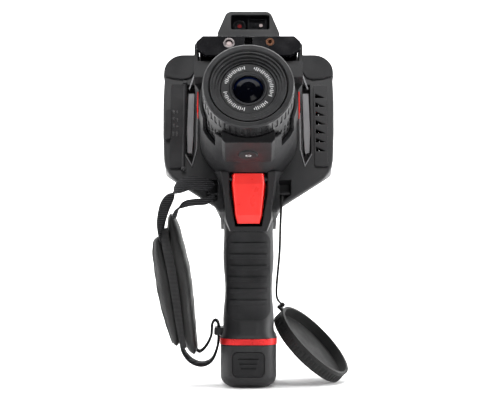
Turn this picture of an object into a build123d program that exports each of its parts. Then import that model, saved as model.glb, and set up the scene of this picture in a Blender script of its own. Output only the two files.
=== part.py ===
from build123d import *
import os
from math import cos, pi, radians, sin, sqrt, tan

os.makedirs("parts", exist_ok=True)

# ---------------------------------------------------------------------------
# Driving dimensions, millimetres. The camera stands on its battery: the origin
# is the centre of the battery's flat base, +X is to the right seen from the
# lens side, and the lens looks towards -Y, tilted up.
# ---------------------------------------------------------------------------
LENS_TILT = 22.0
HEAD_Y, HEAD_Z = -21.2, 183.2      # where the lens axis leaves the housing's front face

WALL = 2.4
HEAD_DEPTH = 38.0
SEAM = 16.0                        # depth of the front half of the housing
CHIN_TOP = -30.0                   # below this the housing is solid

RIM_R = 31.4                       # focus ring, also the lens cap's seat
RING_FRONT, RING_BACK = 85.0, 41.0
BARREL_R = 26.2
COLLAR_FRONT = 62.0
COLLAR_BORE = 32.0
MODULE_FRONT = 50.0                # lamp and laser module above the lens
MODULE_TOP = 56.0
HOOD_FRONT = 40.0
HOOD_TOP = 82.8

HANDLE_BASE, BAND_BASE = 36.0, 31.5
WELL = (26.8, 41.2, 70.0)          # battery well: width, depth, height
WELL_Y = -1.0
PIN_R = 1.5
RUNNING = 0.05                     # radial clearance of a pin in its bore

CAP_R, CAP_INNER, CAP_H = 34.0, 31.9, 10.0
CORD_D = 1.8

# ---------------------------------------------------------------------------
# Frames: HEAD has its Z along the lens axis and its Y up the display, FRONT
# looks at the camera from the lens side, so its third axis is -Y.
# ---------------------------------------------------------------------------
C, S = cos(radians(LENS_TILT)), sin(radians(LENS_TILT))
HEAD = Plane(origin=(0, HEAD_Y, HEAD_Z), x_dir=(1, 0, 0), z_dir=(0, -C, S))
LENS_AXIS = Axis(HEAD.origin, HEAD.z_dir)
LENS_SIDE = Plane(origin=HEAD.origin, x_dir=(1, 0, 0), z_dir=(0, -S, -C))
FRONT = Plane.XZ


def head_point(x, w, a):
    """Row-frame position of a point given across, up and forward on the head."""
    return Vector(x, HEAD_Y - a * C + w * S, HEAD_Z + a * S + w * C)


# ---------------------------------------------------------------------------
# Building helpers: each adds to, or cuts from, the sub-part that is open.
# ---------------------------------------------------------------------------
def block(x, w, a, plane=HEAD, mode=Mode.ADD, radius=0.0):
    """Box between limits across, up and forward in a plane's own axes."""
    with BuildSketch(plane.offset(a[0])) as face:
        with Locations(((x[0] + x[1]) / 2, (w[0] + w[1]) / 2)):
            if radius:
                RectangleRounded(x[1] - x[0], w[1] - w[0], radius)
            else:
                Rectangle(x[1] - x[0], w[1] - w[0])
    extrude(face.sketch, amount=a[1] - a[0], mode=mode)


def disc(radius, a, at=(0.0, 0.0), plane=HEAD, mode=Mode.ADD, bore=0.0):
    """Round disc or ring between two depths."""
    with BuildSketch(plane.offset(a[0])) as face:
        with Locations(at):
            Circle(radius)
            if bore:
                Circle(bore, mode=Mode.SUBTRACT)
    extrude(face.sketch, amount=a[1] - a[0], mode=mode)


def prism(points, a, plane=HEAD, mode=Mode.ADD, radius=0.0):
    """Straight prism on a closed outline of corners."""
    with BuildSketch(plane.offset(a[0])) as face:
        with BuildLine():
            Polyline(*points, close=True)
        make_face()
        if radius:
            fillet(face.vertices(), radius)
    extrude(face.sketch, amount=a[1] - a[0], mode=mode)


def turned(points, plane=LENS_SIDE, axis=LENS_AXIS, mode=Mode.ADD):
    """Ring turned about an axis from corners given as radius and height."""
    with BuildSketch(plane) as face:
        with BuildLine():
            Polyline(*points, close=True)
        make_face()
    revolve(face.sketch, axis=axis, mode=mode)


def rod(radius, start, end, mode=Mode.ADD):
    """Round rod between two points."""
    along = Vector(*end) - Vector(*start)
    with BuildSketch(Plane(origin=start, z_dir=along)) as face:
        Circle(radius)
    extrude(face.sketch, amount=along.length, mode=mode)


def ribbon(points, radius, y, thickness):
    """Flat strap whose edge-on route lies in the front view."""
    with BuildSketch(FRONT.offset(-y[1])) as face:
        with BuildLine():
            FilletPolyline(*points, radius=radius)
        trace(line_width=thickness)
    extrude(face.sketch, amount=y[1] - y[0])


def both_sides(points):
    """Outline of a symmetric shape from its right half, bottom to top."""
    return points + [(-x, w) for x, w in reversed(points)]


# ---------------------------------------------------------------------------
# Shared outlines and blanks
# ---------------------------------------------------------------------------
HEAD_HALF = [(20.8, -58.0), (24.6, -53.0), (61.2, -28.2), (62.9, 4.0), (63.4, 30.0), (62.6, 67.7)]
# edge of the rubber corner bumpers, right side
BUMPER = [(39.4, 72.0), (39.4, 54.5), (43.2, 48.8), (48.0, 47.2), (56.0, 48.2), (66.0, 51.2), (66.0, 72.0)]
BUMPER_PROUD = 1.2
# what the housing's underside leaves clear beside the neck, across and upwards
FLANK = [(20.4, 124.0), (24.4, 132.2), (80.0, 167.2), (80.0, 100.0), (20.4, 100.0)]

with BuildSketch() as head_outline:
    with BuildLine():
        Polyline(*both_sides(HEAD_HALF), close=True)
    make_face()
    fillet(head_outline.vertices().group_by(Axis.Y)[-1], 14.0)
    fillet(head_outline.vertices().group_by(Axis.Y)[2], 24.0)
    fillet(head_outline.vertices().group_by(Axis.Y)[1], 8.0)

with BuildSketch() as head_inner:
    add(head_outline.sketch)
    offset(amount=-WALL, kind=Kind.INTERSECTION, mode=Mode.REPLACE)

with BuildSketch() as head_cavity:
    add(head_inner.sketch)
    with Locations((0, CHIN_TOP - 40)):
        Rectangle(140, 80, mode=Mode.SUBTRACT)
    with Locations((-56.8, 65.0), (56.8, 65.0)):
        Rectangle(40, 40, mode=Mode.SUBTRACT)

with BuildSketch() as bumper_corners:
    for side in (-1, 1):
        with BuildLine():
            Polyline(*[(side * x, w) for x, w in BUMPER], close=True)
        make_face()


def bumper_shell(front, back):
    """Skin on the corners' front and rim, between two depths."""
    with BuildSketch(HEAD.offset(front)) as rim:
        add(bumper_corners.sketch)
        add(head_inner.sketch, mode=Mode.SUBTRACT)
    extrude(rim.sketch, amount=back - front)
    with BuildSketch(HEAD.offset(front)) as skin:
        add(bumper_corners.sketch)
    extrude(skin.sketch, amount=-WALL - front)


def flank_clearance(raised):
    """Cuts the housing's underside level, from the front edge backwards."""
    for side in (-1, 1):
        with BuildSketch(FRONT.offset(-50.0)) as face:
            with BuildLine():
                Polyline(*[(side * x, z + raised) for x, z in FLANK], close=True)
            make_face()
        extrude(face.sketch, amount=120.0)


with BuildPart() as flank_blank:
    flank_clearance(0.0)

with BuildPart() as flank_wall:
    flank_clearance(2.8)

with BuildPart() as head_blank:
    with BuildSketch(HEAD):
        add(head_outline.sketch)
    extrude(amount=-HEAD_DEPTH)
    add(flank_blank.part, mode=Mode.SUBTRACT)

with BuildPart() as front_cavity:
    with BuildSketch(HEAD.offset(-SEAM)):
        add(head_cavity.sketch)
    extrude(amount=SEAM - WALL)
    add(flank_wall.part, mode=Mode.SUBTRACT)

with BuildPart() as rear_cavity:
    with BuildSketch(HEAD.offset(-SEAM)):
        add(head_cavity.sketch)
    extrude(amount=SEAM + WALL - HEAD_DEPTH)
    add(flank_wall.part, mode=Mode.SUBTRACT)

with BuildPart() as bumper_blank:
    bumper_shell(0.0, -HEAD_DEPTH)

with BuildPart() as bumper_envelope:
    bumper_shell(BUMPER_PROUD, -HEAD_DEPTH - 0.5)

# height, width, depth, corner radius, centre in Y
HANDLE_SECTIONS = [
    (36.0, 42.0, 56.0, 14.0, 0.0),
    (46.0, 37.6, 52.0, 14.0, -0.5),
    (60.0, 36.4, 50.0, 14.0, -1.0),
    (84.0, 36.2, 51.0, 14.0, -2.0),
    (110.0, 36.4, 54.0, 14.0, -4.5),
    (121.0, 37.2, 50.6, 14.0, -9.1),
    (131.0, 42.4, 39.6, 13.0, -14.6),
    (141.0, 45.0, 29.0, 12.0, -19.0),
    (150.0, 46.0, 25.4, 11.0, -19.0),
]


def handle_loft(grow):
    """The grip's outer form, grown outwards by a few tenths to make its skins."""
    for height, width, depth, radius, centre in HANDLE_SECTIONS:
        with BuildSketch(Plane.XY.offset(height)) as face:
            with Locations((0, centre)):
                RectangleRounded(width + 2 * grow, depth + 2 * grow, radius)
        yield face.sketch


with BuildPart() as handle_blank:
    loft(list(handle_loft(0.0)))

with BuildPart() as pad_blank:
    loft(list(handle_loft(1.4)))

with BuildPart() as rib_blank:
    loft(list(handle_loft(2.3)))

# ---------------------------------------------------------------------------
# Display housing
# ---------------------------------------------------------------------------
PORT_BAY = ((-57.0, -47.6), (-22.0, 42.0))
CHANNEL = [(39.8, 43.5), (39.8, -19.0), (41.2, -21.6), (45.8, -14.0), (45.8, 43.5)]
STRAP_POCKET = [(22.0, -33.4), (30.8, -33.4), (30.6, -45.2), (24.4, -50.9), (22.4, -49.6)]
BAR_W, BAR_A = -43.0, -4.0
SCREWS = [(-34.0, 63.4), (34.0, 63.4), (-44.0, -20.5), (44.0, -20.5)]
BAY_HALF = 14.6                     # trigger bay, half width
BAY_FLOOR_Y = -35.4

with BuildPart() as front_housing:
    with BuildSketch(HEAD):
        add(head_outline.sketch)
    extrude(amount=-SEAM)
    fillet(front_housing.faces().sort_by(LENS_AXIS)[-1].edges(), 1.8)
    add(flank_blank.part, mode=Mode.SUBTRACT)
    add(front_cavity.part, mode=Mode.SUBTRACT)
    for side in (-1, 1):
        inner, outer = sorted((side * 38.4, side * 47.0))
        block((inner, outer), (-25.0, 45.0), (-7.6, -WALL + 0.1))
        prism([(side * x, w) for x, w in CHANNEL], (-6.0, 1.0), mode=Mode.SUBTRACT)
        prism([(side * x, w) for x, w in STRAP_POCKET], (-10.0, 1.0), mode=Mode.SUBTRACT)
        rod(1.5, head_point(side * 20.5, BAR_W, BAR_A), head_point(side * 32.4, BAR_W, BAR_A),
            mode=Mode.SUBTRACT)
    block(*PORT_BAY, (-8.0, 1.0), mode=Mode.SUBTRACT)
    block((48.8, 57.4), (-22.4, 41.9), (-8.0, 1.0), mode=Mode.SUBTRACT)
    disc(27.4, (-8.0, 1.0), mode=Mode.SUBTRACT)
    block((-26.0, 26.0), (40.0, 52.0), (-8.0, 1.0), mode=Mode.SUBTRACT)
    # knuckle ends of the port cover's hinge
    for low in (-26.6, 43.4):
        block((-48.7, -45.9), (low, low + 2.2), (-0.6, 2.8))
    rod(0.6, head_point(-47.3, -26.6, 1.4), head_point(-47.3, 45.6, 1.4), mode=Mode.SUBTRACT)
    add(bumper_blank.part, mode=Mode.SUBTRACT)
    for at in SCREWS:
        disc(3.4, (-SEAM, -7.0), at=at)
        disc(1.1, (-SEAM, -7.8), at=at, mode=Mode.SUBTRACT)
    # trigger bay in the chin
    block((-BAY_HALF, BAY_HALF), (110.0, 165.0), (-BAY_FLOOR_Y, 70.0), plane=FRONT,
          mode=Mode.SUBTRACT)
    block((-4.2, 4.2), (130.0, 139.0), (-BAY_FLOOR_Y - 5.0, 70.0), plane=FRONT, mode=Mode.SUBTRACT)
front_housing.part.label = "front_housing"
export_step(front_housing.part, "parts/front_housing.step")

KEYPAD = ((-38.0, 38.0), (-28.6, -13.6))
SCREEN = ((-54.0, 54.0), (-12.0, 60.0))
NAV = (0.0, -25.0)
SIDE_KEYS = {"back_key": (-22.0, -24.0), "menu_key": (22.0, -24.0)}
POWER = (33.6, -22.5)
EYE_W, EYE_R = 72.5, 8.6
EYE_PLANE = Plane(origin=head_point(0, EYE_W, 0), x_dir=(1, 0, 0), z_dir=(0, -S, -C))
EYE_AXIS = Axis(head_point(0, EYE_W, 0), HEAD.z_dir)

with BuildPart() as rear_housing:
    with BuildSketch(HEAD.offset(-SEAM)):
        add(head_outline.sketch)
    extrude(amount=SEAM - HEAD_DEPTH)
    fillet(rear_housing.faces().sort_by(LENS_AXIS)[0].edges(), 1.8)
    add(flank_blank.part, mode=Mode.SUBTRACT)
    add(rear_cavity.part, mode=Mode.SUBTRACT)
    block(*SCREEN, (-HEAD_DEPTH - 1, -31.4), mode=Mode.SUBTRACT, radius=3.0)
    block(*KEYPAD, (-HEAD_DEPTH + WALL, -31.0), mode=Mode.SUBTRACT)
    block((-8.0, 8.0), (-32.0, -20.0), (-HEAD_DEPTH + WALL, -31.0), mode=Mode.SUBTRACT)
    disc(9.8, (-HEAD_DEPTH - 1, -35.0), at=NAV, mode=Mode.SUBTRACT)
    for at in SIDE_KEYS.values():
        block((at[0] - 4.8, at[0] + 4.8), (at[1] - 3.3, at[1] + 3.3), (-HEAD_DEPTH - 1, -35.0),
              mode=Mode.SUBTRACT, radius=3.0)
    disc(3.7, (-HEAD_DEPTH - 1, -35.0), at=POWER, mode=Mode.SUBTRACT)
    add(bumper_blank.part, mode=Mode.SUBTRACT)
    for at in SCREWS:
        disc(3.4, (-HEAD_DEPTH + WALL, -SEAM), at=at)
        disc(2.3, (-HEAD_DEPTH - 1, -HEAD_DEPTH + 1.6), at=at, mode=Mode.SUBTRACT)
        disc(1.1, (-HEAD_DEPTH, -SEAM), at=at, mode=Mode.SUBTRACT)
rear_housing.part.label = "rear_housing"
export_step(rear_housing.part, "parts/rear_housing.step")

with BuildPart() as housing_screws:
    for at in SCREWS:
        disc(2.2, (-HEAD_DEPTH + 0.2, -HEAD_DEPTH + 1.6), at=at)
        disc(1.05, (-HEAD_DEPTH + 1.6, -8.0), at=at)
        with BuildSketch(HEAD.offset(-HEAD_DEPTH + 0.2)):
            with Locations(at):
                RegularPolygon(1.2, 6)
        extrude(amount=0.8, mode=Mode.SUBTRACT)
housing_screws.part.label = "housing_screws"
export_step(housing_screws.part, "parts/housing_screws.step")

with BuildPart() as corner_bumpers:
    with BuildSketch(HEAD.offset(BUMPER_PROUD)):
        offset(head_outline.sketch, amount=0.5, kind=Kind.ARC)
    extrude(amount=-HEAD_DEPTH - BUMPER_PROUD - 0.5)
    add(bumper_envelope.part, mode=Mode.INTERSECT)
    fillet(corner_bumpers.faces().group_by(LENS_AXIS)[-1].edges(), 0.9)
corner_bumpers.part.label = "corner_bumpers"
export_step(corner_bumpers.part, "parts/corner_bumpers.step")

TRIM_BAR = [(40.2, 36.6), (40.6, 0.0), (41.4, -12.4), (44.6, -11.4), (45.4, 6.0), (44.6, 36.6)]
TRIM_TIP = [(37.4, 20.0), (37.4, -9.0), (41.0, -23.4), (46.6, -13.6), (45.9, -13.2), (41.2, -21.7),
            (38.4, -9.0), (38.4, 20.0)]
TRIM_LEDGE = [(43.6, 38.8), (44.6, 39.2), (40.9, 51.0), (39.9, 50.6)]
with BuildPart() as side_trims:
    for side in (-1, 1):
        prism([(side * x, w) for x, w in TRIM_BAR], (-6.0, -1.2))
        prism([(side * x, w) for x, w in TRIM_TIP], (0.0, 0.7))
        prism([(side * x, w) for x, w in TRIM_LEDGE], (0.0, 1.4))
side_trims.part.label = "side_trims"
export_step(side_trims.part, "parts/side_trims.step")

with BuildPart() as port_cover:
    block((-57.4, -48.8), (-24.6, 43.2), (0.1, 1.5), radius=1.5)
    block((-49.5, -47.6), (-24.2, 43.2), (0.3, 1.5))
    block((-61.0, -56.8), (-1.8, 22.0), (0.3, 2.4), radius=1.6)
    rod(1.1, head_point(-47.3, -24.2, 1.4), head_point(-47.3, 43.2, 1.4))
    rod(0.6 + RUNNING, head_point(-47.3, -26.0, 1.4), head_point(-47.3, 45.0, 1.4),
        mode=Mode.SUBTRACT)
port_cover.part.label = "port_cover"
export_step(port_cover.part, "parts/port_cover.step")

with BuildPart() as port_hinge_pin:
    rod(0.6, head_point(-47.3, -26.6, 1.4), head_point(-47.3, 45.6, 1.4))
port_hinge_pin.part.label = "port_hinge_pin"
export_step(port_hinge_pin.part, "parts/port_hinge_pin.step")

with BuildPart() as connector_block:
    block((-56.8, -47.8), (-21.8, 41.8), (-7.8, -2.6))
    block((-56.0, -48.6), (26.0, 38.0), (-6.8, -2.0), mode=Mode.SUBTRACT, radius=1.0)
    block((-54.2, -50.4), (10.0, 19.0), (-6.8, -2.0), mode=Mode.SUBTRACT, radius=1.6)
    block((-54.4, -50.2), (-3.0, 6.0), (-6.8, -2.0), mode=Mode.SUBTRACT, radius=0.5)
    disc(2.6, (-6.8, -2.0), at=(-52.3, -12.0), mode=Mode.SUBTRACT)
connector_block.part.label = "connector_block"
export_step(connector_block.part, "parts/connector_block.step")

SLOT_PITCH, SLOT_TOP = 7.2, 33.5
with BuildPart() as vent_grille:
    block((48.1, 58.1), (-23.1, 42.6), (0.0, 1.2), radius=1.2)
    block((48.9, 57.3), (-22.3, 41.8), (-1.6, 0.0))
    for row in range(7):
        w = SLOT_TOP - row * SLOT_PITCH
        prism([(49.4, w + 2.0), (56.8, w - 1.8), (49.4, w - 1.8)], (-2.0, 2.0), mode=Mode.SUBTRACT)
vent_grille.part.label = "vent_grille"
export_step(vent_grille.part, "parts/vent_grille.step")

# ---------------------------------------------------------------------------
# Display, keys and electronics
# ---------------------------------------------------------------------------
with BuildPart() as touch_glass:
    block((-53.8, 53.8), (-11.8, 59.8), (-38.4, -35.2), radius=2.8)
touch_glass.part.label = "touch_glass"
export_step(touch_glass.part, "parts/touch_glass.step")

with BuildPart() as display_panel:
    block((-50.0, 50.0), (-8.0, 56.0), (-35.2, -31.6))
display_panel.part.label = "display_panel"
export_step(display_panel.part, "parts/display_panel.step")

with BuildPart() as nav_pad:
    disc(9.5, (-39.4, -35.6), at=NAV, bore=4.8)
    fillet(nav_pad.faces().sort_by(LENS_AXIS)[0].edges(), 0.5)
nav_pad.part.label = "nav_pad"
export_step(nav_pad.part, "parts/nav_pad.step")

with BuildPart() as ok_key:
    disc(4.5, (-39.2, -34.9), at=NAV)
    disc(5.4, (-34.9, -34.1), at=NAV)
ok_key.part.label = "ok_key"
export_step(ok_key.part, "parts/ok_key.step")

for name, at in SIDE_KEYS.items():
    with BuildPart() as side_key:
        block((at[0] - 4.5, at[0] + 4.5), (at[1] - 3.0, at[1] + 3.0), (-39.0, -35.2), radius=2.8)
        block((at[0] - 5.7, at[0] + 5.7), (at[1] - 4.2, at[1] + 4.2), (-35.2, -34.2), radius=2.8)
    side_key.part.label = name
    export_step(side_key.part, f"parts/{name}.step")

with BuildPart() as power_key:
    disc(3.4, (-38.8, -35.2), at=POWER)
    disc(4.2, (-35.2, -34.2), at=POWER)
power_key.part.label = "power_key"
export_step(power_key.part, "parts/power_key.step")

with BuildPart() as main_board:
    block((-37.0, 37.0), (-12.0, 44.0), (-27.0, -25.4))
    for x, w, size in ((-20.0, 10.0, 16.0), (14.0, 30.0, 14.0), (24.0, 4.0, 9.0), (-28.0, 36.0, 10.0)):
        block((x - size / 2, x + size / 2), (w - size / 2, w + size / 2), (-25.4, -23.8))
main_board.part.label = "main_board"
export_step(main_board.part, "parts/main_board.step")

with BuildPart() as detector_core:
    block((-15.0, 15.0), (-15.0, 15.0), (-20.0, -8.0), radius=2.0)
    block((-8.0, 8.0), (-6.5, 6.5), (-10.0, -7.0), mode=Mode.SUBTRACT)
detector_core.part.label = "detector_core"
export_step(detector_core.part, "parts/detector_core.step")

# ---------------------------------------------------------------------------
# Turret: collar round the lens with the lamp and laser module above it
# ---------------------------------------------------------------------------
TRIGGER_PIN_Y, TRIGGER_PIN_Z, PIN_HALF = -43.0, 152.6, 17.4
TURRET_HALF = [(35.5, -8.0), (35.5, 19.0), (38.5, 24.0), (38.5, 50.0), (33.5, MODULE_TOP)]
LAMP, WINDOW, LASER = (-13.8, 49.2), (0.0, 50.6), (15.3, 50.0)
BUTTON_A, BUTTON_R, BUTTON_W = 50.0, 6.65, -36.6

with BuildPart() as turret_shell:
    turned([(27.4, 0.0), (36.0, 0.0), (36.0, 10.0), (34.0, COLLAR_FRONT), (COLLAR_BORE, COLLAR_FRONT),
            (COLLAR_BORE, 40.0), (27.4, 40.0)])
    prism(both_sides(TURRET_HALF), (0.0, 40.0))
    prism(both_sides(TURRET_HALF[2:]), (40.0, MODULE_FRONT))
    prism([(-18.0, -33.0), (-16.0, -35.8), (16.0, -35.8), (18.0, -33.0), (18.0, -26.0), (-18.0, -26.0)],
          (38.0, 70.0))
    disc(27.4, (-1.0, 40.0), mode=Mode.SUBTRACT)
    disc(COLLAR_BORE, (40.0, 90.0), mode=Mode.SUBTRACT)
    block((-35.8, 35.8), (37.0, 53.5), (3.0, 60.0), mode=Mode.SUBTRACT)
    for side in (-1, 1):
        rays = [(side * r * sin(radians(t)), -r * cos(radians(t)))
                for r, t in ((29.0, 42.0), (46.0, 42.0), (46.0, 67.0), (29.0, 67.0))]
        prism(rays, (43.0, 75.0), mode=Mode.SUBTRACT)
    disc(27.4, (-1.0, 40.0), mode=Mode.SUBTRACT)
    add(head_blank.part, mode=Mode.SUBTRACT)
    # room for the trigger and its pin
    block((-13.6, 13.6), (110.0, 157.2), (38.5, 56.0), plane=FRONT, mode=Mode.SUBTRACT)
    rod(PIN_R + 0.3, (-PIN_HALF, TRIGGER_PIN_Y, TRIGGER_PIN_Z), (PIN_HALF, TRIGGER_PIN_Y, TRIGGER_PIN_Z),
        mode=Mode.SUBTRACT)
    rod(BUTTON_R + 0.25, head_point(0, -30.0, BUTTON_A), head_point(0, -40.0, BUTTON_A),
        mode=Mode.SUBTRACT)
turret_shell.part.label = "turret_shell"
export_step(turret_shell.part, "parts/turret_shell.step")

with BuildPart() as turret_button:
    rod(BUTTON_R, head_point(0, -33.2, BUTTON_A), head_point(0, BUTTON_W, BUTTON_A))
    chamfer(turret_button.faces().sort_by(Axis.Z)[0].edges(), 0.6)
turret_button.part.label = "turret_button"
export_step(turret_button.part, "parts/turret_button.step")

with BuildPart() as forehead_plate:
    prism([(-30.0, 39.6), (-37.0, 45.0), (-37.0, 50.2), (-32.6, 54.8), (32.6, 54.8), (37.0, 50.2),
           (37.0, 45.0), (30.0, 39.6)], (MODULE_FRONT, 54.0))
    disc(4.1, (45.0, 56.0), at=LAMP, mode=Mode.SUBTRACT)
    block((-2.9, 2.9), (WINDOW[1] - 2.9, WINDOW[1] + 2.9), (45.0, 56.0), mode=Mode.SUBTRACT, radius=0.6)
    disc(3.1, (45.0, 56.0), at=LASER, mode=Mode.SUBTRACT)
forehead_plate.part.label = "forehead_plate"
export_step(forehead_plate.part, "parts/forehead_plate.step")

with BuildPart() as led_reflector:
    disc(4.0, (48.0, 54.2), at=LAMP, bore=2.7)
    disc(4.0, (46.8, 48.0), at=LAMP)
led_reflector.part.label = "led_reflector"
export_step(led_reflector.part, "parts/led_reflector.step")

with BuildPart() as led_lens:
    disc(2.6, (48.1, 53.2), at=LAMP)
    fillet(led_lens.faces().sort_by(LENS_AXIS)[-1].edges(), 1.6)
led_lens.part.label = "led_lens"
export_step(led_lens.part, "parts/led_lens.step")

with BuildPart() as range_window:
    block((-2.8, 2.8), (WINDOW[1] - 2.8, WINDOW[1] + 2.8), (51.0, 53.4), radius=0.5)
range_window.part.label = "range_window"
export_step(range_window.part, "parts/range_window.step")

with BuildPart() as laser_module:
    disc(3.0, (42.0, 54.3), at=LASER)
    disc(1.5, (52.8, 55.0), at=LASER, mode=Mode.SUBTRACT)
    disc(0.7, (50.0, 55.0), at=LASER, mode=Mode.SUBTRACT)
laser_module.part.label = "laser_module"
export_step(laser_module.part, "parts/laser_module.step")

with BuildPart() as accent_strips:
    for side in (-1, 1):
        lo, hi = sorted((side * 35.5, side * 36.5))
        block((lo, hi), (4.0, 18.6), (24.0, 38.0))
accent_strips.part.label = "accent_strips"
export_step(accent_strips.part, "parts/accent_strips.step")

# ---------------------------------------------------------------------------
# Lens
# ---------------------------------------------------------------------------
with BuildPart() as lens_barrel:
    turned([(20.0, -4.0), (BARREL_R, -4.0), (BARREL_R, 84.0), (25.0, 84.0), (25.0, 83.0), (22.9, 83.0),
            (22.9, 81.8), (21.0, 81.8), (21.0, 80.6), (19.2, 80.6), (19.2, 76.0), (12.0, 76.0), (12.0, 70.0),
            (22.0, 70.0), (22.0, 48.0), (13.6, 46.0), (13.6, 26.0), (20.0, 24.0), (20.0, -4.0)])
    turned([(BARREL_R - 0.1, 0.0), (27.3, 0.0), (27.3, 38.0), (BARREL_R - 0.1, 38.0)])
lens_barrel.part.label = "lens_barrel"
export_step(lens_barrel.part, "parts/lens_barrel.step")

with BuildPart() as focus_ring:
    turned([(26.6, RING_BACK), (RIM_R, RING_BACK), (RIM_R, RING_FRONT - 1.0), (RIM_R - 1.0, RING_FRONT),
            (27.6, RING_FRONT), (26.6, RING_FRONT - 1.6)])
    for start, end in ((45.0, 52.0), (54.0, 61.0), (72.0, 82.0)):
        with BuildSketch(HEAD.offset(start)):
            with PolarLocations(RIM_R + 0.4, 48):
                Rectangle(2.0, 2.0)
        extrude(amount=end - start, mode=Mode.SUBTRACT)
focus_ring.part.label = "focus_ring"
export_step(focus_ring.part, "parts/focus_ring.step")

with BuildPart() as front_bezel:
    turned([(10.4, 76.2), (19.1, 76.2), (19.1, 79.6), (18.5, 80.0), (13.2, 80.0), (12.8, 79.6),
            (12.6, 80.4), (11.6, 80.4), (10.4, 79.0)])
front_bezel.part.label = "front_bezel"
export_step(front_bezel.part, "parts/front_bezel.step")

with BuildPart() as front_element:
    turned([(0.0, 70.0), (10.3, 71.0), (10.3, 77.2), (8.6, 78.2), (5.6, 79.1), (0.0, 79.7)])
front_element.part.label = "front_element"
export_step(front_element.part, "parts/front_element.step")

with BuildPart() as focus_cell:
    turned([(8.0, 30.0), (13.3, 30.0), (13.3, 42.0), (9.2, 42.0), (9.2, 38.0), (8.0, 38.0)])
    disc(8.0, (32.0, 36.0))
focus_cell.part.label = "focus_cell"
export_step(focus_cell.part, "parts/focus_cell.step")

# ---------------------------------------------------------------------------
# Viewfinder housing on top
# ---------------------------------------------------------------------------
HOOD_HALF = [(22.5, MODULE_TOP), (22.5, 65.0), (15.8, HOOD_TOP)]
HOOD_INNER = [(20.2, 58.2), (20.2, 65.0), (14.2, HOOD_TOP - 2.2)]
HOOD_GLASS = ((-12.7, 15.2), (67.9, 80.0))

with BuildPart() as viewfinder_housing:
    prism(both_sides(HOOD_HALF), (-46.0, HOOD_FRONT))
    fillet(viewfinder_housing.edges().filter_by(LENS_AXIS).group_by(Axis.Z)[-1], 5.0)
    prism(both_sides(HOOD_INNER), (3.0, HOOD_FRONT - 3.0), mode=Mode.SUBTRACT)
    prism(both_sides([(19.0, 70.0), (14.2, HOOD_TOP - 2.2)]), (-36.0, 4.0), mode=Mode.SUBTRACT)
    block(*HOOD_GLASS, (30.0, 41.0), mode=Mode.SUBTRACT, radius=1.5)
    add(head_blank.part, mode=Mode.SUBTRACT)
    block((-30.0, 30.0), (50.0, 62.0), (-47.0, -HEAD_DEPTH), mode=Mode.SUBTRACT)
    turned([(0.0, -47.0), (EYE_R, -47.0), (EYE_R, -HEAD_DEPTH + 0.4), (0.0, -HEAD_DEPTH + 0.4)],
           plane=EYE_PLANE, axis=EYE_AXIS, mode=Mode.SUBTRACT)
viewfinder_housing.part.label = "viewfinder_housing"
export_step(viewfinder_housing.part, "parts/viewfinder_housing.step")

with BuildPart() as hood_window:
    block(*HOOD_GLASS, (37.4, 38.8), radius=1.5)
hood_window.part.label = "hood_window"
export_step(hood_window.part, "parts/hood_window.step")

CAMERA = (-6.5, 72.6)
with BuildPart() as visible_camera:
    disc(4.6, (26.0, 37.0), at=CAMERA)
    disc(3.2, (35.0, 38.0), at=CAMERA, mode=Mode.SUBTRACT)
    disc(3.1, (35.0, 36.2), at=CAMERA)
    block((-12.0, 13.2), (68.4, 77.4), (20.0, 26.0))
    block((-0.6, 13.2), (68.6, 78.6), (26.0, 37.0))
    block((0.6, 12.0), (69.8, 77.4), (35.4, 38.0), mode=Mode.SUBTRACT)
    disc(1.6, (35.4, 36.4), at=(4.0, 73.6))
    disc(1.6, (35.4, 36.4), at=(9.0, 73.6))
visible_camera.part.label = "visible_camera"
export_step(visible_camera.part, "parts/visible_camera.step")


def turned_eye(points):
    """Ring turned about the eyepiece axis."""
    turned(points, plane=EYE_PLANE, axis=EYE_AXIS)


with BuildPart() as eyepiece_tube:
    turned_eye([(7.0, -57.0), (8.5, -57.0), (8.5, -38.4), (7.0, -38.4)])
eyepiece_tube.part.label = "eyepiece_tube"
export_step(eyepiece_tube.part, "parts/eyepiece_tube.step")

with BuildPart() as eyepiece_lens:
    turned_eye([(0.0, -54.0), (6.9, -53.0), (6.9, -50.0), (0.0, -50.0)])
eyepiece_lens.part.label = "eyepiece_lens"
export_step(eyepiece_lens.part, "parts/eyepiece_lens.step")

with BuildPart() as dioptre_dial:
    turned_eye([(8.7, -50.4), (11.8, -50.4), (11.8, -46.3), (8.7, -46.3)])
    with BuildSketch(HEAD.offset(-50.0)):
        with Locations((0, EYE_W)):
            with PolarLocations(12.2, 24):
                Rectangle(1.6, 1.4)
    extrude(amount=3.2, mode=Mode.SUBTRACT)
dioptre_dial.part.label = "dioptre_dial"
export_step(dioptre_dial.part, "parts/dioptre_dial.step")

with BuildPart() as eyecup:
    turned_eye([(8.6, -50.8), (11.0, -50.8), (12.6, -55.0), (16.4, -63.0), (15.2, -64.0), (11.0, -57.6),
                (8.6, -57.2)])
eyecup.part.label = "eyecup"
export_step(eyecup.part, "parts/eyecup.step")

# ---------------------------------------------------------------------------
# Grip
# ---------------------------------------------------------------------------
with BuildPart() as handle:
    add(handle_blank.part)
    add(head_blank.part, mode=Mode.SUBTRACT)
    with BuildSketch(Plane.XY.offset(HANDLE_BASE)):
        with Locations((0, WELL_Y)):
            RectangleRounded(WELL[0], WELL[1], 6.4)
    extrude(amount=WELL[2], mode=Mode.SUBTRACT)
    block((-9.0, 9.0), (100.0, 160.0), (-4.0, 22.0), plane=FRONT, mode=Mode.SUBTRACT)
    block((-BAY_HALF, BAY_HALF), (110.0, 165.0), (-BAY_FLOOR_Y, 70.0), plane=FRONT, mode=Mode.SUBTRACT)

GRIP_SPLIT = FRONT.offset(3.0)
with BuildPart() as handle_front:
    add(handle.part)
    split(bisect_by=GRIP_SPLIT, keep=Keep.TOP)
handle_front.part.label = "handle_front"
export_step(handle_front.part, "parts/handle_front.step")

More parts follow.
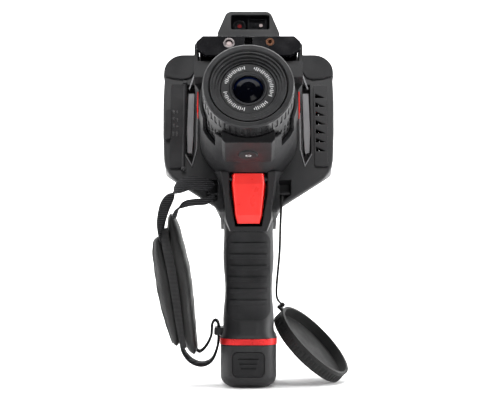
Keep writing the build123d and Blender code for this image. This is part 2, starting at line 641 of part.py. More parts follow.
with BuildPart() as handle_rear:
    add(handle.part)
    split(bisect_by=GRIP_SPLIT, keep=Keep.BOTTOM)
handle_rear.part.label = "handle_rear"
export_step(handle_rear.part, "parts/handle_rear.step")

RIB_TOP, RIB_PITCH, RIB_H = 106.5, 8.4, 3.0
with BuildPart() as rib_slabs:
    for row in range(6):
        top = RIB_TOP - row * RIB_PITCH
        block((-14.0, 14.0), (top - RIB_H, top), (12.0, 50.0), plane=FRONT)

with BuildPart() as grip_ribs:
    add(rib_blank.part)
    add(rib_slabs.part, mode=Mode.INTERSECT)
    add(handle_blank.part, mode=Mode.SUBTRACT)

with BuildPart() as grip_pad:
    add(pad_blank.part)
    block((-16.0, 16.0), (49.7, 114.6), (12.0, 50.0), plane=FRONT, mode=Mode.INTERSECT, radius=8.0)
    add(handle_blank.part, mode=Mode.SUBTRACT)
    add(grip_ribs.part)
grip_pad.part.label = "grip_pad"
export_step(grip_pad.part, "parts/grip_pad.step")

with BuildPart() as base_band:
    with BuildSketch(Plane.XY.offset(BAND_BASE)):
        RectangleRounded(42.4, 57.0, 14.0)
        with Locations((0, WELL_Y)):
            RectangleRounded(WELL[0], WELL[1], 6.4, mode=Mode.SUBTRACT)
    extrude(amount=HANDLE_BASE - BAND_BASE)
base_band.part.label = "base_band"
export_step(base_band.part, "parts/base_band.step")

TRIGGER_ROOT = both_sides([(9.0, 119.2), (11.0, 126.7), (13.4, 149.0), (13.0, 157.0)])
TRIGGER_FRONT = both_sides([(7.2, 121.6), (8.4, 127.0), (10.6, 149.6), (9.8, 156.4)])
TRIGGER_SIDE = [(45.6, 120.0), (48.4, 126.7), (50.8, 149.0), (50.2, 156.6), (40.0, 156.6),
                (39.6, 150.0), (41.0, 136.0), (40.6, 122.0)]

with BuildPart() as trigger_side:
    with BuildSketch(Plane.YZ.offset(-14.0)):
        with BuildLine():
            Polyline(*[(-f, z) for f, z in TRIGGER_SIDE], close=True)
        make_face()
    extrude(amount=28.0)

with BuildPart() as trigger_face:
    with BuildSketch(FRONT.offset(36.0)):
        with BuildLine():
            Polyline(*TRIGGER_ROOT, close=True)
        make_face()
    with BuildSketch(FRONT.offset(52.0)):
        with BuildLine():
            Polyline(*TRIGGER_FRONT, close=True)
        make_face()
    loft()

with BuildPart() as trigger:
    add(trigger_face.part)
    add(trigger_side.part, mode=Mode.INTERSECT)
    fillet(trigger.edges().filter_by(lambda e: e.center().Y < -46.0 and abs(e.center().X) > 6.0), 1.4)
    rod(PIN_R + RUNNING, (-15, TRIGGER_PIN_Y, TRIGGER_PIN_Z), (15, TRIGGER_PIN_Y, TRIGGER_PIN_Z),
        mode=Mode.SUBTRACT)
    rod(4.4, (7.4, TRIGGER_PIN_Y, TRIGGER_PIN_Z), (15, TRIGGER_PIN_Y, TRIGGER_PIN_Z),
        mode=Mode.SUBTRACT)
trigger.part.label = "trigger"
export_step(trigger.part, "parts/trigger.step")

with BuildPart() as trigger_pin:
    rod(PIN_R, (-PIN_HALF, TRIGGER_PIN_Y, TRIGGER_PIN_Z), (PIN_HALF, TRIGGER_PIN_Y, TRIGGER_PIN_Z))
trigger_pin.part.label = "trigger_pin"
export_step(trigger_pin.part, "parts/trigger_pin.step")

with BuildPart() as trigger_spring:
    for turn in range(4):
        with BuildSketch(Plane.YZ.offset(8.2 + 1.0 * turn)):
            with Locations((TRIGGER_PIN_Y, TRIGGER_PIN_Z)):
                Circle(3.4)
                Circle(2.2, mode=Mode.SUBTRACT)
        extrude(amount=1.0)
trigger_spring.part.label = "trigger_spring"
export_step(trigger_spring.part, "parts/trigger_spring.step")

with BuildPart() as trigger_switch:
    block((-4.0, 4.0), (130.4, 138.6), (-BAY_FLOOR_Y - 4.8, -BAY_FLOOR_Y), plane=FRONT)
    disc(1.4, (-BAY_FLOOR_Y, 38.0), at=(0.0, 134.5), plane=FRONT)
trigger_switch.part.label = "trigger_switch"
export_step(trigger_switch.part, "parts/trigger_switch.step")

# the surround's right half: its root on the housing, and its narrower face
SURROUND_ROOT = [(14.0, 115.0), (18.2, 124.0), (19.8, 136.0), (21.2, 150.0), (26.0, 158.0)]
SURROUND_FACE = [(13.0, 115.0), (16.2, 124.0), (17.0, 136.0), (18.6, 150.0), (19.6, 158.0)]

with BuildPart() as surround_blank:
    with BuildSketch(FRONT.offset(30.0)):
        with BuildLine():
            Polyline(*both_sides(SURROUND_ROOT), close=True)
        make_face()
    with BuildSketch(FRONT.offset(46.4)):
        with BuildLine():
            Polyline(*both_sides(SURROUND_FACE), close=True)
        make_face()
    loft()

with BuildPart() as collar_envelope:
    turned([(0.0, -0.5), (36.2, -0.5), (36.2, 10.0), (34.2, COLLAR_FRONT + 8.0), (0.0, COLLAR_FRONT + 8.0)])

with BuildPart() as trigger_surround:
    add(surround_blank.part)
    prism([(-13.8, 160.0), (-13.8, 142.0), (-11.0, 126.7), (-9.6, 118.6),
           (9.6, 118.6), (11.0, 126.7), (13.8, 142.0), (13.8, 160.0)],
          (-BAY_FLOOR_Y - 8.0, 60.0), plane=FRONT, mode=Mode.SUBTRACT)
    rod(PIN_R, (-PIN_HALF, TRIGGER_PIN_Y, TRIGGER_PIN_Z), (PIN_HALF, TRIGGER_PIN_Y, TRIGGER_PIN_Z),
        mode=Mode.SUBTRACT)
    add(collar_envelope.part, mode=Mode.SUBTRACT)
    add(head_blank.part, mode=Mode.SUBTRACT)
    add(pad_blank.part, mode=Mode.SUBTRACT)
trigger_surround.part.label = "trigger_surround"
export_step(trigger_surround.part, "parts/trigger_surround.step")

with BuildPart() as strap_bars:
    for side in (-1, 1):
        rod(1.5, head_point(side * 20.5, BAR_W, BAR_A), head_point(side * 32.4, BAR_W, BAR_A))
strap_bars.part.label = "strap_bars"
export_step(strap_bars.part, "parts/strap_bars.step")

with BuildPart() as lug_blank:
    block((-25.6, -17.0), (37.0, 42.6), (-9.0, 9.0), plane=FRONT, radius=1.2)

with BuildPart() as strap_lug:
    add(lug_blank.part)
    block((-23.8, -21.0), (-6.6, 6.6), (30.0, 50.0), plane=Plane.XY, mode=Mode.SUBTRACT)
    add(handle_blank.part, mode=Mode.SUBTRACT)
strap_lug.part.label = "strap_lug"
export_step(strap_lug.part, "parts/strap_lug.step")

# ---------------------------------------------------------------------------
# Battery
# ---------------------------------------------------------------------------
with BuildPart() as battery_case:
    with BuildSketch():
        RectangleRounded(41.4, 58.0, 14.0)
    extrude(amount=BAND_BASE - 0.2)
    fillet(battery_case.faces().sort_by(Axis.Z)[0].edges(), 9.0)
    with BuildSketch(Plane.XY.offset(BAND_BASE - 0.2)):
        with Locations((0, WELL_Y)):
            RectangleRounded(WELL[0] - 0.8, WELL[1] - 0.8, 6.0)
    extrude(amount=72.6)
    with BuildSketch(Plane.XY.offset(34.0)):
        with Locations((0, WELL_Y - 9.8), (0, WELL_Y + 9.8)):
            Circle(9.4)
    extrude(amount=65.6, mode=Mode.SUBTRACT)
    block((-11.6, 11.6), (8.4, 26.6), (22.4, 30.0), plane=FRONT, mode=Mode.SUBTRACT, radius=3.6)
battery_case.part.label = "battery_case"
export_step(battery_case.part, "parts/battery_case.step")

with BuildPart() as battery_cells:
    with BuildSketch(Plane.XY.offset(34.2)):
        with Locations((0, WELL_Y - 9.8), (0, WELL_Y + 9.8)):
            Circle(9.2)
    extrude(amount=65.0)
battery_cells.part.label = "battery_cells"
export_step(battery_cells.part, "parts/battery_cells.step")

with BuildPart() as latch_button:
    block((-11.3, 11.3), (8.7, 26.3), (25.0, 29.3), plane=FRONT, radius=3.4)
    for half, z in ((7.4, 21.6), (6.4, 18.2), (5.4, 14.8)):
        block((-half, half), (z - 0.5, z + 0.5), (28.5, 30.0), plane=FRONT, mode=Mode.SUBTRACT)
latch_button.part.label = "latch_button"
export_step(latch_button.part, "parts/latch_button.step")

# ---------------------------------------------------------------------------
# Hand strap on the left side
# ---------------------------------------------------------------------------
with BuildPart() as strap_pad_outer:
    prism([(-52.8, 28.4), (-48.2, 37.0), (-50.0, 75.8), (-58.9, 99.0), (-63.6, 112.0), (-70.4, 107.6),
           (-70.4, 96.0), (-65.8, 70.0), (-57.4, 34.0)], (-8.0, 36.0), plane=FRONT, radius=2.0)
strap_pad_outer.part.label = "strap_pad_outer"
export_step(strap_pad_outer.part, "parts/strap_pad_outer.step")

with BuildPart() as strap_pad_inner:
    prism([(-31.6, 24.0), (-37.0, 40.0), (-38.6, 62.0), (-42.0, 87.0), (-48.0, 106.0), (-53.0, 127.4),
           (-57.6, 125.6), (-58.4, 112.0), (-57.8, 99.0), (-49.2, 76.0), (-47.4, 38.0), (-37.0, 23.0)],
          (-8.0, 36.0), plane=FRONT, radius=1.6)
strap_pad_inner.part.label = "strap_pad_inner"
export_step(strap_pad_inner.part, "parts/strap_pad_inner.step")

with BuildPart() as strap_web_upper:
    ribbon([(-27.0, 147.6), (-43.0, 149.6), (-55.0, 142.0), (-62.4, 128.0), (-62.8, 114.0)],
           9.0, (-46.0, -36.6), 1.6)
    ribbon([(-24.0, 141.0), (-31.6, 136.4), (-42.0, 136.6), (-52.0, 133.0), (-55.0, 128.8)],
           3.0, (-46.0, -41.0), 1.4)
strap_web_upper.part.label = "strap_web_upper"
export_step(strap_web_upper.part, "parts/strap_web_upper.step")

with BuildPart() as strap_web_lower:
    ribbon([(-53.4, 27.0), (-45.0, 16.6), (-35.0, 13.4), (-26.0, 17.6), (-22.4, 30.0), (-22.4, 48.6),
            (-27.2, 48.6), (-27.2, 34.0), (-30.2, 25.8)],
           [5.0, 8.0, 6.0, 5.0, 2.2, 2.2, 4.0], (-5.0, 5.0), 1.4)
strap_web_lower.part.label = "strap_web_lower"
export_step(strap_web_lower.part, "parts/strap_web_lower.step")

# ---------------------------------------------------------------------------
# Lens cap on its tether, leaning on the grip's right side
# ---------------------------------------------------------------------------
CAP_N = Vector(0.676, -0.242, 0.696).normalized()
CAP_DROP = CAP_R * sqrt(1 - CAP_N.Z ** 2) + CAP_H * CAP_N.Z + 0.15
CAP_PLANE = Plane(origin=(51.0, 12.0, CAP_DROP), x_dir=(-CAP_N.Z, 0, CAP_N.X), z_dir=CAP_N)

with BuildPart() as lens_cap:
    disc(CAP_R, (-CAP_H, 0.0), plane=CAP_PLANE)
    with BuildSketch(CAP_PLANE.offset(-CAP_H + 2.4)):
        Circle(CAP_INNER)
    extrude(amount=CAP_H, mode=Mode.SUBTRACT)
    block((32.6, 38.6), (-2.6, 2.6), (-2.4, -0.4), plane=CAP_PLANE, radius=1.2)
    disc(CAP_INNER, (-2.6, 1.0), plane=CAP_PLANE, mode=Mode.SUBTRACT)
    with BuildSketch(CAP_PLANE.offset(-CAP_H + 1.6)):
        with PolarLocations(CAP_R + 0.4, 60, start_angle=3.0):
            Rectangle(1.8, 1.7)
    extrude(amount=CAP_H - 4.6, mode=Mode.SUBTRACT)
lens_cap.part.label = "lens_cap"
export_step(lens_cap.part, "parts/lens_cap.step")

KNOT_AT = CAP_PLANE.from_local_coords((36.6, 0.0, 1.5))
with BuildPart() as tether_knot:
    with Locations(KNOT_AT):
        Sphere(1.9)
tether_knot.part.label = "tether_knot"
export_step(tether_knot.part, "parts/tether_knot.step")

TETHER = [(24.4, -37.0, 140.2), (24.0, -43.0, 137.6), (23.2, -45.2, 128.5), (22.8, -42.0, 115.0),
          (22.6, -34.0, 99.0), (21.4, -22.0, 84.0), (20.6, -8.0, 70.5), (21.4, 4.0, 62.0)]
TETHER_END = KNOT_AT + (Vector(*TETHER[-1]) - KNOT_AT).normalized() * 1.8
TETHER_ROUTE = [Vector(*point) for point in TETHER] + [TETHER_END]


def corner_radii(route):
    """Largest tangent arc at each inner point of a route."""
    radii = []
    for before, here, after in zip(route, route[1:], route[2:]):
        run = min((here - before).length, (after - here).length)
        half_turn = radians((here - before).get_angle(after - here)) / 2
        radii.append(0.45 * run / tan(half_turn))
    return radii


TETHER_RADII = corner_radii(TETHER_ROUTE)
with BuildPart() as tether_cord:
    with BuildLine() as tether_path:
        FilletPolyline(*TETHER_ROUTE, radius=TETHER_RADII)
    with BuildSketch(Plane(origin=tether_path.line @ 0, z_dir=tether_path.line % 0)):
        Circle(CORD_D / 2)
    sweep()
tether_cord.part.label = "tether_cord"
export_step(tether_cord.part, "parts/tether_cord.step")

section = pi * CORD_D ** 2 / 4
print("tether radii", [round(radius, 1) for radius in TETHER_RADII])
length = sum(edge.length for edge in tether_path.line.edges())
print("tether length", round(length, 2), "volume", round(tether_cord.part.volume, 2),
      "section x length", round(section * length, 2))
print("tether route", [tuple(round(value, 3) for value in point) for point in TETHER_ROUTE])
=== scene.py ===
"""Thermal imaging camera: looks, soft pieces, studio and camera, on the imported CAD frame."""

import math

import bpy
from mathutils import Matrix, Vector


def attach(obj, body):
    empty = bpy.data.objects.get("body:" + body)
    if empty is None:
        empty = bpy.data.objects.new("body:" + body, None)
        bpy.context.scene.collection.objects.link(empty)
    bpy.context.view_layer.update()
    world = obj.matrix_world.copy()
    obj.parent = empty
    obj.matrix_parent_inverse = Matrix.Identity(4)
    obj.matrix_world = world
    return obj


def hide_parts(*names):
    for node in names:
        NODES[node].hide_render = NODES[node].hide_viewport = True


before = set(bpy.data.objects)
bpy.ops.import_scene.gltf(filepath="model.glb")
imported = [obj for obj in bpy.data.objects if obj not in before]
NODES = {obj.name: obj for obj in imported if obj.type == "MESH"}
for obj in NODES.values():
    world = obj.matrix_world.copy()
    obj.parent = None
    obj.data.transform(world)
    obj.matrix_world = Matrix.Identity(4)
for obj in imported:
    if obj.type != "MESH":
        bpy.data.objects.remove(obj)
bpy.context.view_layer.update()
BODY = "camera"
MM = 0.001

LENS_TILT = math.radians(22.0)
HEAD_ORIGIN = Vector((0.0, -0.0212, 0.1832))
FORWARD = Vector((0.0, -math.cos(LENS_TILT), math.sin(LENS_TILT)))
UP = Vector((0.0, math.sin(LENS_TILT), math.cos(LENS_TILT)))
RIGHT = Vector((1.0, 0.0, 0.0))
CAMERA_X, CAMERA_W = -6.5, 72.6     # the visible-light camera, across and up on the head

TEXTURE_MIDDLE = (0.3, 0.7)         # the share of a texture's values that shows
STRAP_SECTION = ((-1, -0.6), (-0.92, -1), (0.92, -1), (1, -0.6),
                 (1, 0.6), (0.92, 1), (-0.92, 1), (-1, 0.6))
PAD_END_ROWS = 3.0                  # rows over which a pad's end closes
PAD_END_THICKNESS = 0.35            # its thickness at the very end, as a share
PAD_END_WIDTH = 0.82
PAD_OVER_POWER = 2.2                # roundness of a pad's section across its thickness
PAD_RIPPLE = 0.025
STITCH_FIRST, STITCH_LAST = 4, 3    # rows left bare at each end of the outer pad
STITCH_PARTS = (0.2, 0.7)           # places of the two threads between rows
RING_FACE_A = 80.06                 # the name ring's face, forward on the head
RING_MARK_RADIUS, RING_MARK_HALF_WIDTH = 15.9, 0.22
BUTTON_MARK_W, BUTTON_MARK_A, BUTTON_SQUASH = -36.66, 50.0, 0.7
ICON_BACK, ICON_FRONT = 1.45, 1.7   # how far forward the icons on the port cover reach


def head(x, w, a):
    """Point on the tilted head, in metres, from millimetres across, up and forward."""
    return HEAD_ORIGIN + (RIGHT * x + UP * w + FORWARD * a) * MM


def mm(*values):
    return Vector(values) * MM


# ---------------------------------------------------------------------------
# Materials
# ---------------------------------------------------------------------------
class Shader:
    """A Principled material with helpers for its procedural detail."""

    def __init__(self, name, color, roughness=0.5, metallic=0.0, **inputs):
        self.material = bpy.data.materials.new(name)
        self.material.use_nodes = True
        self.tree = self.material.node_tree
        self.bsdf = self.tree.nodes["Principled BSDF"]
        self.set(self.bsdf, "Base Color", (*color, 1.0))
        self.set(self.bsdf, "Roughness", roughness)
        self.set(self.bsdf, "Metallic", metallic)
        for key, value in inputs.items():
            self.set(self.bsdf, key.replace("_", " "), value)
        self.coords = self.node("ShaderNodeTexCoord")
        self.normal = None

    def node(self, kind, **values):
        made = self.tree.nodes.new(kind)
        for key, value in values.items():
            if key in made.inputs:
                made.inputs[key].default_value = value
            else:
                setattr(made, key, value)
        return made

    @staticmethod
    def set(node, socket, value):
        node.inputs[socket].default_value = value

    def link(self, source, target):
        self.tree.links.new(source, target)

    def noise(self, scale, detail=3.0, stretch=(1, 1, 1)):
        mapping = self.node("ShaderNodeMapping", Scale=stretch)
        self.link(self.coords.outputs["Object"], mapping.inputs["Vector"])
        noise = self.node("ShaderNodeTexNoise", Scale=scale, Detail=detail)
        self.link(mapping.outputs["Vector"], noise.inputs["Vector"])
        return noise.outputs["Fac"]

    def wave(self, scale, direction, distortion=0.0):
        wave = self.node("ShaderNodeTexWave", Scale=scale, Distortion=distortion)
        wave.bands_direction = direction
        self.link(self.coords.outputs["Object"], wave.inputs["Vector"])
        return wave.outputs["Fac"]

    def cells(self, scale):
        cells = self.node("ShaderNodeTexVoronoi", Scale=scale)
        self.link(self.coords.outputs["Object"], cells.inputs["Vector"])
        return cells.outputs["Distance"]

    def spread(self, source, low, high):
        """Maps the middle of a texture's values onto a range."""
        ranged = self.node("ShaderNodeMapRange")
        for socket, value in zip(("From Min", "From Max", "To Min", "To Max"),
                                 (*TEXTURE_MIDDLE, low, high)):
            self.set(ranged, socket, value)
        self.link(source, ranged.inputs["Value"])
        return ranged.outputs["Result"]

    def rough(self, source, low, high):
        self.link(self.spread(source, low, high), self.bsdf.inputs["Roughness"])

    def tint(self, source, first, second, low=0.35, high=0.65):
        """Blends two colours by a texture."""
        ramp = self.node("ShaderNodeValToRGB")
        ramp.color_ramp.elements[0].position = low
        ramp.color_ramp.elements[1].position = high
        ramp.color_ramp.elements[0].color = (*first, 1.0)
        ramp.color_ramp.elements[1].color = (*second, 1.0)
        self.link(source, ramp.inputs["Fac"])
        self.link(ramp.outputs["Color"], self.bsdf.inputs["Base Color"])

    def round_edges(self, radius):
        bevel = self.node("ShaderNodeBevel", Radius=radius)
        bevel.samples = 4
        self.normal = bevel.outputs["Normal"]
        self.link(self.normal, self.bsdf.inputs["Normal"])

    def bump(self, source, distance):
        bump = self.node("ShaderNodeBump", Strength=1.0, Distance=distance)
        self.link(source, bump.inputs["Height"])
        if self.normal is not None:
            self.link(self.normal, bump.inputs["Normal"])
        self.normal = bump.outputs["Normal"]
        self.link(self.normal, self.bsdf.inputs["Normal"])


def textured_plastic(name, color, lighter, low, high):
    """Moulded plastic with a spark-eroded grain and handling sheen."""
    shader = Shader(name, color, Specular_IOR_Level=0.32)
    shader.round_edges(0.0010)
    shader.tint(shader.noise(35.0), color, lighter)
    shader.rough(shader.noise(60.0, 4.0), low, high)
    shader.bump(shader.noise(2600.0, 2.0), 0.00006)
    return shader.material


def gloss_plastic(name, color):
    """Polished plastic with a thin clear coat."""
    shader = Shader(name, color, Specular_IOR_Level=0.3, Coat_Weight=0.15, Coat_Roughness=0.08)
    shader.round_edges(0.0005)
    shader.rough(shader.noise(90.0, 5.0), 0.12, 0.24)
    shader.bump(shader.noise(300.0), 0.00001)
    return shader.material


def painted(name, color, deeper, metallic=0.0, low=0.25, high=0.4):
    """Coloured paint or moulded colour with a fine orange peel."""
    shader = Shader(name, color, metallic=metallic, Specular_IOR_Level=0.35)
    shader.round_edges(0.0006)
    shader.tint(shader.noise(45.0), color, deeper)
    shader.rough(shader.noise(120.0, 4.0), low, high)
    shader.bump(shader.noise(1500.0), 0.00003)
    return shader.material


def machined(name, color, low=0.25, high=0.42, metallic=0.85):
    """Anodised or bare metal with fine turning marks."""
    shader = Shader(name, color, metallic=metallic)
    shader.round_edges(0.0004)
    shader.rough(shader.noise(140.0, 4.0), low, high)
    shader.bump(shader.noise(900.0, 2.0, stretch=(1, 6, 6)), 0.00003)
    return shader.material


def rubber(name, color, lighter, grain=1400.0):
    """Soft moulded rubber, matt and finely grained."""
    shader = Shader(name, color, Specular_IOR_Level=0.25)
    shader.round_edges(0.0007)
    shader.tint(shader.noise(50.0), color, lighter)
    shader.rough(shader.noise(80.0, 4.0), 0.55, 0.75)
    shader.bump(shader.noise(grain, 3.0), 0.00008)
    return shader.material


def leather(name, color, lighter):
    """Grained synthetic leather with soft creases."""
    shader = Shader(name, color, Specular_IOR_Level=0.3)
    shader.tint(shader.noise(30.0), color, lighter)
    shader.rough(shader.noise(70.0, 5.0), 0.42, 0.62)
    shader.bump(shader.noise(60.0, 3.0), 0.0007)
    shader.bump(shader.cells(700.0), 0.0002)
    return shader.material


def woven(name, color, lighter, ribs):
    """Woven webbing: ribs across and yarns along."""
    shader = Shader(name, color, roughness=0.8, Specular_IOR_Level=0.2)
    shader.tint(shader.wave(ribs, "Z"), color, lighter, 0.2, 0.8)
    shader.rough(shader.noise(90.0, 4.0), 0.7, 0.9)
    shader.bump(shader.noise(2500.0), 0.0001)
    shader.bump(shader.wave(ribs, "Z"), 0.0004)
    return shader.material


def coated_glass(name, deep, edge):
    """Infrared lens glass: nearly black, with a blue anti-reflection coating."""
    shader = Shader(name, deep, roughness=0.12, Specular_IOR_Level=0.04)
    facing = shader.node("ShaderNodeLayerWeight", Blend=0.55)
    shader.tint(facing.outputs["Facing"], deep, edge, 0.25, 0.8)
    shader.bump(shader.noise(25.0), 0.000004)
    return shader.material


def clear_glass(name, tint, alpha):
    shader = Shader(name, tint, roughness=0.03, Specular_IOR_Level=0.3, Alpha=alpha)
    shader.rough(shader.noise(120.0), 0.02, 0.08)
    return shader.material


def board(name):
    """Solder mask with faint traces."""
    shader = Shader(name, (0.02, 0.11, 0.05), roughness=0.35)
    shader.tint(shader.wave(120.0, "X", 6.0), (0.015, 0.09, 0.04), (0.03, 0.16, 0.07))
    shader.bump(shader.noise(700.0), 0.00003)
    return shader.material


CHARCOAL = textured_plastic("charcoal", (0.009, 0.009, 0.010), (0.015, 0.015, 0.016), 0.40, 0.54)
TURRET = textured_plastic("turret_black", (0.006, 0.006, 0.007), (0.010, 0.010, 0.011), 0.46, 0.6)
BUMPER = rubber("bumper_rubber", (0.009, 0.009, 0.010), (0.014, 0.014, 0.015))
GRIP = rubber("grip_rubber", (0.007, 0.007, 0.008), (0.012, 0.012, 0.013))
CAP = rubber("cap_rubber", (0.012, 0.012, 0.012), (0.018, 0.018, 0.018), 1000.0)
GLOSS = gloss_plastic("gloss_black", (0.005, 0.005, 0.006))
# Pale silver-grey on the side trims is a painted highlight: it stands in for side light falling on
# the wings' glossy black inner walls.
SIDE_WALL_HIGHLIGHT = painted("silver_trim", (0.20, 0.20, 0.205), (0.15, 0.15, 0.155), 0.4, 0.34, 0.48)
RED = painted("trigger_red", (0.86, 0.020, 0.014), (0.80, 0.016, 0.012))
RED_METAL = painted("band_red", (0.62, 0.02, 0.02), (0.50, 0.015, 0.015), 0.5)
ANODISED = machined("anodised_black", (0.010, 0.010, 0.011), 0.32, 0.46, 0.3)
STEEL = machined("bare_steel", (0.55, 0.55, 0.56))
CHROME = machined("lamp_chrome", (0.20, 0.18, 0.18), 0.2, 0.35)
LENS_GLASS = coated_glass("lens_glass", (0.0006, 0.0008, 0.0022), (0.004, 0.016, 0.085))
CLEAR = clear_glass("clear_window", (0.004, 0.004, 0.005), 0.12)
LAMP_LENS = painted("lamp_lens", (0.62, 0.52, 0.51), (0.45, 0.36, 0.35), 0.0, 0.15, 0.3)
BRONZE = machined("laser_bronze", (0.10, 0.045, 0.025))
GLINT = painted("camera_glint", (0.20, 0.012, 0.012), (0.10, 0.006, 0.006), 0.0, 0.1, 0.2)
ICON = painted("raised_icon", (0.035, 0.035, 0.036), (0.028, 0.028, 0.029))
SCREEN = clear_glass("screen_glass", (0.004, 0.004, 0.005), 1.0)
LEATHER = leather("strap_leather", (0.006, 0.006, 0.006), (0.011, 0.011, 0.011))
KNIT = woven("strap_knit", (0.014, 0.014, 0.014), (0.035, 0.035, 0.036), 330.0)
WEBBING = woven("webbing", (0.008, 0.008, 0.009), (0.028, 0.028, 0.030), 230.0)
BRAID = woven("tether_braid", (0.006, 0.006, 0.006), (0.018, 0.018, 0.018), 500.0)
CELL = painted("cell_sleeve", (0.05, 0.16, 0.40), (0.04, 0.12, 0.33))
PCB = board("circuit_board")
MARK = painted("white_marking", (0.75, 0.75, 0.75), (0.6, 0.6, 0.6))

NODE_LOOKS = {
    CHARCOAL: ("front_housing", "rear_housing", "handle_front", "handle_rear", "battery_case"),
    TURRET: ("turret_shell", "viewfinder_housing", "trigger_surround", "vent_grille", "strap_lug"),
    BUMPER: ("corner_bumpers", "port_cover", "dioptre_dial", "eyecup", "latch_button",
             "turret_button"),
    GRIP: ("grip_pad", "nav_pad", "ok_key", "back_key", "menu_key", "power_key"),
    CAP: ("lens_cap",),
    GLOSS: ("forehead_plate", "visible_camera", "connector_block", "trigger_switch"),
    # The side trims carry the painted highlight of the wings' side-lit inner walls.
    SIDE_WALL_HIGHLIGHT: ("side_trims",),
    RED: ("trigger", "accent_strips"),
    RED_METAL: ("base_band",),
    ANODISED: ("lens_barrel", "focus_ring", "front_bezel", "focus_cell", "detector_core",
               "eyepiece_tube", "trigger_pin", "trigger_spring", "strap_bars"),
    STEEL: ("port_hinge_pin", "housing_screws"),
    CHROME: ("led_reflector",),
    BRONZE: ("laser_module",),
    LAMP_LENS: ("led_lens",),
    LENS_GLASS: ("front_element",),
    CLEAR: ("range_window", "hood_window", "eyepiece_lens"),
    SCREEN: ("touch_glass", "display_panel"),
    CELL: ("battery_cells",),
    PCB: ("main_board",),
}


def paint(obj, material):
    obj.data.materials.clear()
    obj.data.materials.append(material)


for look, names in NODE_LOOKS.items():
    for node_name in names:
        paint(NODES[node_name], look)


# ---------------------------------------------------------------------------
# Mesh helpers
# ---------------------------------------------------------------------------
def mesh_piece(name, vertices, faces, material, body=BODY, smooth=True):
    mesh = bpy.data.meshes.new(name)
    mesh.from_pydata([tuple(v) for v in vertices], [], faces)
    mesh.update()
    for polygon in mesh.polygons:
        polygon.use_smooth = smooth
    obj = bpy.data.objects.new(name, mesh)
    bpy.context.scene.collection.objects.link(obj)
    paint(obj, material)
    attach(obj, body)
    return obj


def smooth_path(points, steps):
    """Points on a Catmull-Rom curve through the given ones, with any number of values each."""
    ends = [points[0]] + list(points) + [points[-1]]
    path = []
    for i in range(1, len(ends) - 2):
        before, here, after, beyond = ends[i - 1:i + 3]
        for step in range(steps):
            t = step / steps
            path.append([0.5 * (2 * b + (c - a) * t + (2 * a - 5 * b + 4 * c - d) * t * t
                                + (3 * b - a - 3 * c + d) * t ** 3)
                         for a, b, c, d in zip(before, here, after, beyond)])
    path.append(list(points[-1]))
    return path


def tube_faces(rings, around):
    faces = []
    for i in range(rings - 1):
        for j in range(around):
            k = (j + 1) % around
            faces.append((i * around + j, i * around + k,
                          (i + 1) * around + k, (i + 1) * around + j))
    faces.append(tuple(range(around - 1, -1, -1)))
    faces.append(tuple(range((rings - 1) * around, rings * around)))
    return faces


def strap(name, stations, thickness, material, steps=10):
    """Flat strap along stations of (x, y, z, width, width direction), in millimetres.

    Returns the piece, its length and its mean width in metres.
    """
    rows = smooth_path(stations, steps)
    vertices, length, area = [], 0.0, 0.0
    for i, row in enumerate(rows):
        centre, width = mm(*row[:3]), row[3] * MM
        tangent = mm(*rows[min(i + 1, len(rows) - 1)][:3]) - mm(*rows[max(i - 1, 0)][:3])
        tangent.normalize()
        side = Vector(row[4:7])
        side = (side - tangent * side.dot(tangent)).normalized()
        out = tangent.cross(side)
        half, rise = side * width / 2, out * thickness * MM / 2
        for across, over in STRAP_SECTION:
            vertices.append(centre + half * across + rise * over)
        if i:
            step = (centre - mm(*rows[i - 1][:3])).length
            length += step
            area += step * width
    piece = mesh_piece(name, vertices, tube_faces(len(rows), len(STRAP_SECTION)), material)
    return piece, length, area / length


def padded_strip(name, stations, material, steps=8, around=28, square=3.0):
    """Puffy pad along stations of (x, z, half thickness, near y, far y), in millimetres."""
    rows = smooth_path(stations, steps)
    vertices = []
    for i, (x, z, thick, near, far) in enumerate(rows):
        ahead, behind = rows[min(i + 1, len(rows) - 1)], rows[max(i - 1, 0)]
        along = Vector((ahead[0] - behind[0], 0.0, ahead[1] - behind[1])).normalized()
        out = Vector((along.z, 0.0, -along.x))
        end = min(i, len(rows) - 1 - i) / PAD_END_ROWS
        closing = (1 - PAD_END_THICKNESS) * math.sin(min(end, 1.0) * math.pi / 2)
        taper = min(1.0, PAD_END_THICKNESS + closing)
        middle = (near + far) / 2
        half = (far - near) / 2 * (PAD_END_WIDTH + (1 - PAD_END_WIDTH) * taper)
        for j in range(around):
            angle = 2 * math.pi * j / around
            c, s = math.cos(angle), math.sin(angle)
            across = math.copysign(abs(c) ** (2 / square), c)
            over = math.copysign(abs(s) ** (2 / PAD_OVER_POWER), s)
            ripple = 1.0 + PAD_RIPPLE * math.sin(i * 0.9 + 2.0 * c) * abs(s)
            vertices.append(mm(x, middle + half * across, z)
                            + out * over * thick * taper * ripple * MM)
    piece = mesh_piece(name, vertices, tube_faces(len(rows), around), material)
    return piece, rows


